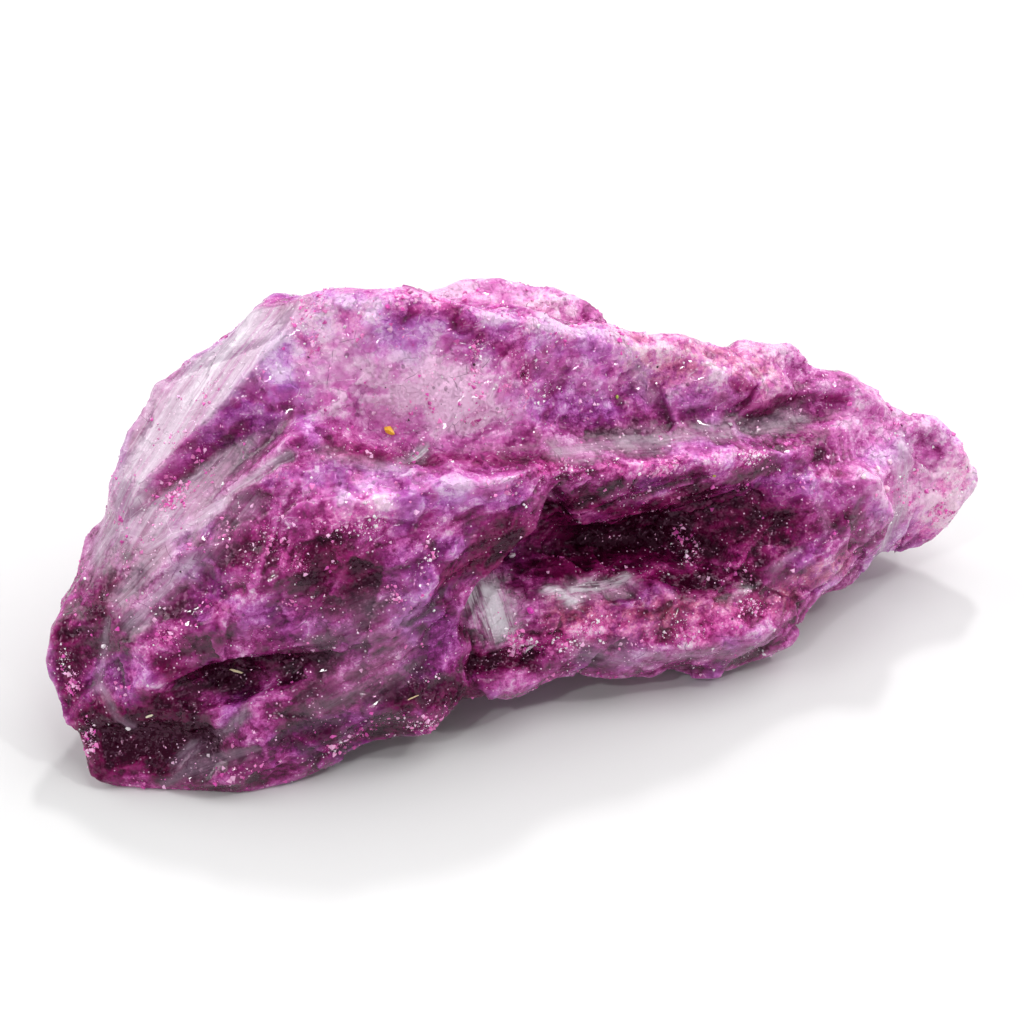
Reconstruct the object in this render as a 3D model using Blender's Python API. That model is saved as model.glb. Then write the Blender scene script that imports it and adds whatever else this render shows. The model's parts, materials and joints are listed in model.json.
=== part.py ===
"""A rough purple sapphire: one fractured lump of corundum, lying on its flattest side.

Metres, +Z up. X runs along the lump, from the blunt end to the point, Y runs across it, and the front, with
the long hollow, faces -Y. The origin is on the surface that the stone rests on, under the middle of its box.

The lump is made in the order in which it broke: angular masses fused into one body, then the hollows and
cracks between them, then the scars of smaller breaks all over, and last a slight unevenness.
"""
from itertools import product
from math import radians
import bmesh
import bpy
import numpy as np
from mathutils import Vector, noise

MM = 0.001
NAME = "rough_sapphire"

# The masses of the lump. Each is the convex hull of its corners, in millimetres.
MASSES = {
    "crown": [
        # crest, from the blunt end to the point
        (-10.3, 6.1, 23.2), (-8.0, 5.0, 24.2), (-3.4, 2.2, 24.4), (0.8, 1.4, 22.8), (5.7, 1.6, 20.6),
        (12.2, 2.0, 18.0), (19.0, 2.4, 15.0), (21.8, 0.8, 13.3), (26.8, -1.0, 10.2),
        # foot of the face in front of the crest
        (-10.2, 2.2, 18.0), (-5.5, -1.0, 17.0), (1.9, -1.0, 16.2), (7.3, -0.6, 15.0), (15.5, 0.2, 12.8),
        # silvery face at the blunt end
        (-10.9, 10.3, 20.8), (-15.7, 9.0, 19.4), (-18.4, 8.4, 17.9), (-22.3, 6.3, 13.3), (-22.0, 3.6, 12.8),
        (-20.6, 3.6, 15.0), (-15.6, 4.0, 19.4), (-12.0, 4.9, 22.2),
        # back, out of sight from the front
        (-16.5, 13.4, 13.5), (-5.0, 16.2, 12.0), (8.0, 13.6, 10.6), (18.0, 8.6, 9.0), (25.0, 3.5, 6.5),
        (-20.0, 11.0, 4.0), (-6.0, 16.0, 4.0), (9.0, 13.2, 2.4), (20.0, 6.5, 2.5), (-23.5, 6.5, 4.0),
        # underside, behind the front masses
        (-20.0, 4.0, -1.0), (-12.0, 10.5, -1.0), (-4.0, 13.0, -1.0), (8.0, 10.5, -1.0), (18.0, 3.0, -1.0),
        (10.0, -1.5, -1.0),
    ],
    "front shoulder": [
        # where its silvery top meets the crown
        (-11.4, 2.6, 18.7), (-13.5, 2.4, 17.3), (-17.8, 2.7, 14.6), (-22.1, 3.4, 12.7), (-24.0, 5.8, 11.2),
        (-25.3, 5.4, 8.9),
        # front edge of that top
        (-11.7, 0.2, 18.6), (-15.1, 0.1, 16.8), (-18.1, -0.6, 14.4), (-19.8, -0.7, 13.1), (-21.9, -1.3, 10.8),
        # down the blunt end
        (-26.8, 1.8, 7.8), (-27.9, 1.2, 5.8), (-28.2, -0.8, 3.4), (-27.2, -3.5, 0.2), (-25.2, -3.4, 4.5),
        # foot
        (-25.4, -4.8, -1.0), (-22.3, -6.1, -1.0), (-15.4, -7.2, 0.2), (-8.0, -8.2, 1.6), (-5.2, -7.2, 2.8),
        # swell of the front, and the bench above it
        (-9.6, -3.6, 17.0), (-4.8, -4.2, 16.7), (-13.9, -4.4, 14.0), (-17.2, -3.8, 11.5), (-20.3, -3.6, 8.5),
        (-9.5, -6.9, 11.0), (-14.0, -6.2, 9.0), (-5.6, -6.0, 9.0),
        # inside the lump
        (-22.0, 6.0, 3.0), (-6.0, 6.0, 3.0), (-6.5, 2.0, 14.0),
    ],
    "nose of the bench": [
        (-9.5, -3.5, 16.9), (-4.7, -4.5, 16.7), (0.5, -4.1, 15.8), (1.4, -4.4, 14.5), (-2.0, -4.8, 12.2),
        (-4.2, -5.2, 8.6), (-9.0, 0.2, 16.9), (-3.0, 0.4, 16.5), (2.0, 0.4, 16.0), (-8.0, 0.0, 10.0),
    ],
    "long ledge": [
        # front edge of its top
        (0.5, -4.0, 15.8), (4.5, -4.3, 15.4), (10.2, -4.3, 13.9), (13.9, -3.9, 13.1), (16.6, -3.4, 12.7),
        (22.5, -0.8, 11.7),
        # under its lip
        (1.5, -4.2, 14.0), (6.6, -4.3, 13.2), (13.0, -4.0, 11.7), (20.1, -3.0, 10.6),
        # inside the lump
        (1.5, 0.0, 16.1), (8.0, 0.6, 15.2), (18.0, 1.0, 12.9),
        (2.0, 4.0, 12.0), (21.0, 3.0, 8.0), (5.0, 0.0, 6.0), (19.0, -1.5, 5.0),
    ],
    "lower ledge": [
        # rim of the hollow
        (-5.1, -2.7, 8.4), (-1.1, -4.6, 8.0), (3.2, -6.0, 7.3), (9.0, -7.4, 6.1), (14.3, -7.1, 5.6),
        (21.5, -5.0, 6.0),
        # front
        (-3.5, -5.6, 5.6), (-0.7, -6.9, 5.3), (4.1, -7.6, 5.3), (8.7, -8.8, 3.9), (13.9, -8.7, 3.9),
        (23.2, -4.9, 4.4),
        # foot
        (-6.4, -7.2, 2.5), (-3.1, -6.4, 2.3), (0.2, -6.4, 2.3), (3.6, -6.6, 1.6), (9.3, -7.4, 0.6),
        (15.3, -7.1, 0.8), (21.6, -5.0, 2.0),
        # inside the lump
        (-7.0, -3.0, 4.0), (20.0, 3.0, 4.0), (-4.0, 3.0, 0.8), (10.0, 2.0, -1.0), (18.0, 2.0, 0.2),
    ],
    "pointed end": [
        (21.5, -1.8, 11.2), (26.8, -1.2, 10.1), (28.6, -2.1, 8.6), (29.8, -3.0, 6.1), (28.6, -3.5, 4.0),
        (23.8, -4.6, 2.4), (21.7, -3.4, 9.0), (21.3, -5.2, 4.8), (19.0, 3.5, 6.0), (25.5, 2.5, 3.5),
        (28.3, 0.0, 6.5),
    ],
    "back rim": [
        (-13.0, 10.4, 19.2), (-1.7, 9.6, 20.0), (2.5, 9.0, 20.1), (5.9, 7.8, 19.4), (8.6, 6.0, 18.1),
        (-8.0, 13.6, 16.5), (4.0, 13.0, 15.5), (-6.0, 4.0, 14.0), (8.0, 3.0, 12.0),
    ],
    "cheek by the point": [
        (15.4, -4.0, 10.9), (18.8, -4.3, 10.6), (21.0, -4.8, 9.8), (22.2, -5.7, 7.6), (22.2, -6.0, 4.6),
        (18.6, -7.1, 3.4), (16.3, -6.3, 7.2), (14.0, -7.4, 5.2), (18.0, 2.0, 11.0), (22.0, 1.0, 9.5),
        (8.0, -0.4, 12.0), (8.0, -1.4, 7.0), (16.0, 0.0, 3.0),
    ],
    "knob near the point": [
        (14.6, 2.6, 17.7), (19.2, 2.2, 15.9), (22.0, 0.4, 13.5), (19.0, 0.4, 13.6), (15.0, 0.6, 14.8),
        (18.0, 6.0, 11.0),
    ],
    "spur across the face": [
        (-10.6, 4.0, 21.6), (-9.6, 1.6, 19.6), (-9.6, -0.6, 17.6), (-10.8, 1.6, 18.2), (-8.6, 1.0, 17.6),
        (-9.0, 4.5, 22.0), (-8.0, 5.0, 16.0),
    ],
    "step low in the back": [
        (-11.0, 15.2, 6.5), (-1.0, 17.4, 7.2), (6.5, 16.2, 5.4), (-10.0, 14.4, 1.4), (5.5, 14.8, 1.2),
        (-2.0, 16.8, 2.0), (0.0, 8.0, 4.0),
    ],
    "shoulder of the back": [
        (-18.6, 11.0, 13.2), (-13.0, 13.4, 14.6), (-21.5, 10.2, 8.0), (-14.0, 14.8, 8.6), (-12.0, 7.0, 10.0),
    ],
}

# What is missing between the masses: (ball, ball), each ball (x, y, z, radius) in millimetres. The hull of
# the two balls is bitten out of the lump.
HOLLOWS = {
    "long hollow, blunt half": ((-3.4, -4.2, 9.2, 1.1), (4.4, -5.4, 10.2, 2.5)),
    "long hollow, pointed half": ((4.4, -5.4, 10.2, 2.5), (15.2, -6.0, 8.8, 1.5)),
    "pocket under the lower ledge": ((-4.6, -6.9, 5.0, 1.2), (-1.2, -7.3, 4.7, 1.0)),
    "crack in the shoulder, blunt half": ((-22.4, -4.1, 5.9, 0.9), (-17.6, -5.1, 6.9, 1.3)),
    "crack in the shoulder, pointed half": ((-17.6, -5.1, 6.9, 1.3), (-10.5, -7.3, 8.9, 0.6)),
    "pocket in the blunt end": ((-26.0, -4.6, 3.0, 1.5), (-20.6, -6.2, 3.3, 1.6)),
    "crease under the knob": ((13.6, -1.0, 14.7, 0.8), (21.0, -1.0, 12.7, 0.8)),
    "dish in the back": ((6.0, 17.0, 10.5, 3.6), (12.0, 14.0, 9.0, 3.0)),
    "groove in the back": ((-20.0, 13.2, 11.4, 0.9), (-8.0, 17.0, 10.0, 1.0)),
}

# Fusing: the grid, in millimetres, and how many times the skin is eased over it.
FUSING_GRID = 0.35
SMOOTHING_STEPS = 1

# Scars of old breaks, shallow dishes that meet in ridges: (count, dish's radius in millimetres, tilt).
SCARS = ((90, 22.0, 0.20), (700, 7.0, 0.22))
SCARRED_BOX = ((-30.0, -10.0, -2.0), (30.0, 18.0, 26.0))
SCAR_SEED = 11

# Lifting the surface: the share of it that sinks, the most that it moves, in millimetres, and how many times
# the directions in which it moves are averaged.
SUNKEN_SHARE = 0.55
FARTHEST_MOVE = 0.8
EASING_STEPS = 50

# Faces that broke clean, with no scars: (x, y, z, radius) in millimetres.
CLEAN_FACES = ((-16.5, 6.3, 18.2, 5.0), (-13.0, 8.0, 20.5, 3.0), (-20.5, 5.5, 15.0, 3.0))

# Unevenness: (wavelength, height), in millimetres.
SWELLS = ((9.0, 0.30), (3.6, 0.12))

# Scars and unevenness are drawn out along the grain of the stone.
GRAIN = np.array((0.93, -0.10, 0.35))
GRAIN_STRETCH = 1.7

TRIANGLES = 9000
CREASE_ANGLE = radians(28)

# Half the size of the block that cuts the base flat, in millimetres.
SLAB = 40.0

COLOUR = (0.28, 0.06, 0.22, 1.0)
ROUGHNESS = 0.25
METALLIC = 0.0


def apply_modifiers(stone):
    """Replaces the stone's mesh by what its modifiers make of it."""
    bpy.context.view_layer.update()
    evaluated = stone.evaluated_get(bpy.context.evaluated_depsgraph_get())
    finished = bpy.data.meshes.new_from_object(evaluated)
    replaced = stone.data
    stone.modifiers.clear()
    stone.data = finished
    bpy.data.meshes.remove(replaced)


def fuse(stone):
    """Makes one closed skin of the overlapping masses."""
    grid = stone.modifiers.new("fuse", "REMESH")
    grid.mode = "VOXEL"
    grid.voxel_size = FUSING_GRID * MM
    relax = stone.modifiers.new("relax", "SMOOTH")
    relax.iterations = SMOOTHING_STEPS
    apply_modifiers(stone)


def add_hull(body, points):
    """Adds the convex hull of the points, given in millimetres, to the body."""
    corners = [body.verts.new(Vector(point) * MM) for point in points]
    hull = bmesh.ops.convex_hull(body, input=corners)
    spare = {item for item in hull["geom_interior"] + hull["geom_unused"] if item in corners}
    bmesh.ops.delete(body, geom=list(spare), context="VERTS")


def new_object(name, body):
    """Turns the body into an object of the scene."""
    bmesh.ops.recalc_face_normals(body, faces=body.faces)
    mesh = bpy.data.meshes.new(name)
    body.to_mesh(mesh)
    body.free()
    made = bpy.data.objects.new(name, mesh)
    bpy.context.collection.objects.link(made)
    return made


def fused_masses():
    """The angular masses, fused."""
    body = bmesh.new()
    for corners in MASSES.values():
        add_hull(body, corners)
    stone = new_object(NAME, body)
    fuse(stone)
    return stone


def ball_points(ball):
    """Points all over a ball (x, y, z, radius), in millimetres."""
    centre = Vector(ball[:3])
    scratch = bmesh.new()
    bmesh.ops.create_icosphere(scratch, subdivisions=3, radius=ball[3])
    points = [centre + vertex.co for vertex in scratch.verts]
    scratch.free()
    return points


def cut(stone, cutter):
    """Takes the cutter out of the stone, and removes the cutter."""
    bite = stone.modifiers.new("bite", "BOOLEAN")
    bite.operation = "DIFFERENCE"
    bite.object = cutter
    apply_modifiers(stone)
    bpy.data.objects.remove(cutter)


def cut_hollows(stone):
    """Bites the hollows out of the stone."""
    for name, (start, end) in HOLLOWS.items():
        body = bmesh.new()
        add_hull(body, ball_points(start) + ball_points(end))
        cut(stone, new_object(name, body))
    fuse(stone)


def points_of(stone):
    """The stone's vertices, in millimetres."""
    flat = np.empty(len(stone.data.vertices) * 3)
    stone.data.vertices.foreach_get("co", flat)
    return flat.reshape(-1, 3) / MM


def set_points(stone, points):
    """Moves the stone's vertices, given in millimetres."""
    stone.data.vertices.foreach_set("co", (points * MM).ravel())
    stone.data.update()


def normals_of(stone):
    """The outward direction at each of the stone's vertices."""
    flat = np.empty(len(stone.data.vertices) * 3)
    stone.data.vertex_normals.foreach_get("vector", flat)
    return flat.reshape(-1, 3)


def eased_directions(stone):
    """The outward direction at each vertex, averaged with its neighbours' so that ridges open evenly."""
    ends = np.empty(len(stone.data.edges) * 2, dtype=int)
    stone.data.edges.foreach_get("vertices", ends)
    first, second = ends.reshape(-1, 2).T
    directions = normals_of(stone)
    for _ in range(EASING_STEPS):
        total = directions.copy()
        np.add.at(total, first, directions[second])
        np.add.at(total, second, directions[first])
        directions = total / np.linalg.norm(total, axis=1, keepdims=True)
    return directions


def along_grain(points):
    """The points with the grain's direction squeezed, so that a round pattern on them is drawn out."""
    grain = GRAIN / np.linalg.norm(GRAIN)
    return points - np.outer(points @ grain, grain) * (1 - 1 / GRAIN_STRETCH)


def roughness_at(points):
    """0 on the faces that broke clean, rising to 1 away from them."""
    rough = np.ones(len(points))
    for x, y, z, radius in CLEAN_FACES:
        distance = np.linalg.norm(points - (x, y, z), axis=1)
        rough *= 1 - np.exp(-(distance / radius) ** 4)
    return rough


def lift(stone, heights):
    """Moves the surface out by the heights, in millimetres."""
    points = points_of(stone)
    change = np.clip(heights - np.quantile(heights, SUNKEN_SHARE), -FARTHEST_MOVE, FARTHEST_MOVE)
    change *= roughness_at(points)
    set_points(stone, points + eased_directions(stone) * change[:, None])


def scar_centres(stone, draw, count):
    """Places spread over the surface: points drawn in the lump's box, moved to the nearest spot on it."""
    drawn = draw.uniform(*SCARRED_BOX, size=(count, 3)) * MM
    return np.array([stone.closest_point_on_mesh(Vector(place))[1] for place in drawn]) / MM


def scar_surface(stone):
    """Covers the surface with the dishes of old breaks."""
    draw = np.random.default_rng(SCAR_SEED)
    for count, radius, tilt in SCARS:
        places = along_grain(points_of(stone))
        lowest = np.full(len(places), np.inf)
        for centre in along_grain(scar_centres(stone, draw, count)):
            away = places - centre
            dish = away @ draw.uniform(-tilt, tilt, size=3) + (away * away).sum(axis=1) / (2 * radius)
            lowest = np.minimum(lowest, dish)
        lift(stone, lowest)


def roughen_surface(stone):
    """Gives the surface swells."""
    places = along_grain(points_of(stone))
    for wavelength, height in SWELLS:
        lift(stone, np.array([height * noise.noise(Vector(place) / wavelength) for place in places]))


def simplify(stone):
    """Keeps the forms with few triangles."""
    triangles = stone.modifiers.new("triangles", "TRIANGULATE")
    triangles.min_vertices = 4
    apply_modifiers(stone)
    fewer = stone.modifiers.new("fewer", "DECIMATE")
    fewer.ratio = TRIANGLES / len(stone.data.polygons)
    fewer.use_collapse_triangulate = True
    apply_modifiers(stone)


def flatten_base(stone):
    """Cuts the stone off flat where it rests."""
    body = bmesh.new()
    add_hull(body, product((-SLAB, SLAB), (-SLAB, SLAB), (-SLAB, 0.0)))
    cut(stone, new_object("below the base", body))
    split = stone.modifiers.new("triangles", "TRIANGULATE")
    split.min_vertices = 4
    apply_modifiers(stone)


def centre_on_origin(stone):
    """Puts the bottom centre of the stone's box on the origin."""
    points = points_of(stone)
    low = points.min(axis=0)
    high = points.max(axis=0)
    set_points(stone, points - ((low[0] + high[0]) / 2, (low[1] + high[1]) / 2, low[2]))


def purple_corundum():
    """Glossy purple stone."""
    material = bpy.data.materials.new("purple_corundum")
    material.use_nodes = True
    shader = material.node_tree.nodes["Principled BSDF"]
    shader.inputs["Base Color"].default_value = COLOUR
    shader.inputs["Roughness"].default_value = ROUGHNESS
    shader.inputs["Metallic"].default_value = METALLIC
    return material


def main():
    """Makes the stone."""
    for old in list(bpy.data.objects):
        bpy.data.objects.remove(old)
    stone = fused_masses()
    cut_hollows(stone)
    scar_surface(stone)
    roughen_surface(stone)
    fuse(stone)
    simplify(stone)
    flatten_base(stone)
    centre_on_origin(stone)
    stone.data.shade_smooth()
    stone.data.set_sharp_from_angle(angle=CREASE_ANGLE)
    stone.data.materials.clear()
    stone.data.materials.append(purple_corundum())


main()
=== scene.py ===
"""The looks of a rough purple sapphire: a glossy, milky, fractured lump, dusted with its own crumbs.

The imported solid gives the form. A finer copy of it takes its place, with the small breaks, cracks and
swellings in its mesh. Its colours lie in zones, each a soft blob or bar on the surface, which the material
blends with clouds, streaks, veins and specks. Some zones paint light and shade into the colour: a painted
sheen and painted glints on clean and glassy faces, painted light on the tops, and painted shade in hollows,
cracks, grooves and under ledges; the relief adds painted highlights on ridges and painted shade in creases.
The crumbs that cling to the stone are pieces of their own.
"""
import json
from functools import cache
from itertools import product
from math import cos, pi, radians, sin
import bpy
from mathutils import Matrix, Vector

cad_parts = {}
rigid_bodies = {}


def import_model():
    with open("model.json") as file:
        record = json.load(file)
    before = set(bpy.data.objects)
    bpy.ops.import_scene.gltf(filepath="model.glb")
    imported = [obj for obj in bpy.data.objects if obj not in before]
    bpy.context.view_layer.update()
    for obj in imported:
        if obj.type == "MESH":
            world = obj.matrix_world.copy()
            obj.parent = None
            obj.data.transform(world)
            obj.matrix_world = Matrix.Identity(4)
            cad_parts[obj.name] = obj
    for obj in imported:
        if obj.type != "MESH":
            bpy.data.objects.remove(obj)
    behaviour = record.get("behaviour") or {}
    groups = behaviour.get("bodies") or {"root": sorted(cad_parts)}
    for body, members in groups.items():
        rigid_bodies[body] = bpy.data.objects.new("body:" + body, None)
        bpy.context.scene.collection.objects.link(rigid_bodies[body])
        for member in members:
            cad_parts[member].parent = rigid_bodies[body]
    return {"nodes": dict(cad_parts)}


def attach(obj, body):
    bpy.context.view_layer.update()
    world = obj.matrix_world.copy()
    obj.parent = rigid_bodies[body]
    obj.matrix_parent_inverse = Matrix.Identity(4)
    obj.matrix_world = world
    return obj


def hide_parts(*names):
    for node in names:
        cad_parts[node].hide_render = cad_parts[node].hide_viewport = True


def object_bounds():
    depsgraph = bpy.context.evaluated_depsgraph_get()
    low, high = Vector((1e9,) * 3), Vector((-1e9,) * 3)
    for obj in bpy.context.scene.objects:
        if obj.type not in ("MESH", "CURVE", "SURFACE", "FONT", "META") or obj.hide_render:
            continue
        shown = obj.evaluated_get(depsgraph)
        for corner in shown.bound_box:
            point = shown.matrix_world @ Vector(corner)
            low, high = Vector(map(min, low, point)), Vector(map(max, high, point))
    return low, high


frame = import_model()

from types import SimpleNamespace
import bpy
import numpy as np
from mathutils import Vector
from mathutils.bvhtree import BVHTree

MM = 0.001
SOLID = "rough_sapphire"
BODY = "root"
SOLID_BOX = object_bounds()
BOX_LOW, BOX_HIGH = (np.array(corner) / MM for corner in SOLID_BOX)

# The flat facets that the solid is brought down to first, so that they meet in crisp edges. Then the grid of
# the finer copy, in millimetres, how many times it is eased, and the triangles that it keeps.
FACETS = 1500
SKIN_GRID = 0.165
SKIN_EASING = 1
SKIN_TRIANGLES = 190_000

# The way in which streaks, scars and wisps are drawn out.
GRAIN = np.array((0.93, -0.10, 0.35))

# Small breaks that meet in ridges: (size, depth), in millimetres. Then how much they lean and are dished.
BREAKS = ((3.6, 1.0), (1.6, 0.26))
BREAK_LEAN = 1.2
BREAK_HOLLOW = 0.8
# Flat chips: (size, height), in millimetres. Then how much they lean, the size of their patches, and the
# noise between which a patch of them begins and is whole.
CHIPS = ((3.3, 0.55), (1.5, 0.26), (0.7, 0.07))
CHIP_LEAN = 0.9
CHIP_PATCHES = 3.5
CHIPS_START = (-0.3, 0.2)
# Steps along the grain: (width, height), in millimetres. Then the way in which they fall, and their patches.
STEPS = ((2.3, 0.16), (0.9, 0.07))
STEP_FALL = np.array((0.25, 0.70, -0.66))
STEP_PATCHES = 4.5
STEPS_START = (-0.1, 0.35)
# Unevenness: (wavelength, height), in millimetres.
SWELLS = ((2.6, 0.06), (0.7, 0.02))
# Breaks and swells are drawn out along the grain by this much. Smooth faces keep a share of the relief. They
# are the faces in these zones.
RELIEF_STRETCH = 1.5
RELIEF_LEFT_ON_SMOOTH = 0.15
SMOOTH_ZONES = {"painted_sheen": 1.2, "milk": 0.3}
# How often directions are eased: those that the relief rises in, and those that zones keep to.
LIFT_EASING = 20
ZONE_EASING = 8
PAINT_EASING = 6
# The most that the relief moves the skin, and the heights over the floor between which it grows to its full
# strength, in millimetres.
FARTHEST_MOVE = 0.6
RELIEF_STARTS = (0.1, 1.2)

# Local corrections to the form: (place, radius, move). The place is a share of the box from 0 to 1 along X, Y
# and Z, and the others are in millimetres.
PUSHES = {
    "knob": ((0.75, 0.41, 0.70), 4.0, (0.0, -0.2, -0.8)),
    "saddle before the knob": ((0.68, 0.39, 0.74), 3.5, (0.0, 0.1, 0.6)),
    "top behind the point": ((0.87, 0.34, 0.52), 5.0, (0.1, 0.1, 0.6)),
    "tip": ((0.98, 0.21, 0.30), 3.0, (-0.3, 0.0, 0.0)),
    "underside of the tip": ((0.93, 0.19, 0.16), 4.5, (0.0, -0.1, -0.6)),
    "foot of the front": ((0.27, 0.04, 0.07), 5.0, (0.0, 0.3, 0.6)),
    "foot of the front, middle": ((0.36, 0.03, 0.11), 4.5, (0.0, 0.3, 0.6)),
    "foot of the lower ledge": ((0.50, 0.05, 0.10), 5.5, (0.0, 0.3, 0.6)),
    "foot of the lower ledge, pointed half": ((0.63, 0.02, 0.08), 4.5, (0.0, 0.3, 0.6)),
    "corner of the blunt end": ((0.02, 0.21, 0.05), 4.5, (-0.1, -0.25, 0.0)),
    "edge of the clean face": ((0.10, 0.51, 0.54), 5.0, (-0.4, 0.0, 0.1)),
    "top of the clean face": ((0.29, 0.68, 0.86), 4.0, (-0.2, 0.3, 0.4)),
    "rim behind the crown": ((0.50, 0.66, 0.79), 6.0, (0.0, 0.2, 0.4)),
}

# The camera. It aims at a share of the box. Its distance is in metres, its lens and sensor in millimetres.
CAMERA_AIM = (0.483, 0.330, 0.408)
CAMERA_AZIMUTH = radians(-20)
CAMERA_ELEVATION = radians(40)
CAMERA_DISTANCE = 0.130
CAMERA_LENS = 78.0
CAMERA_SENSOR = 36.0

# Places on the stone are picked in the camera's view: pixels across and down from its top left corner, in a
# square of this width. There a millimetre of the stone takes up about this many pixels.
VIEW_WIDTH = 1024
PIXELS_PER_MM = 17
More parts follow.
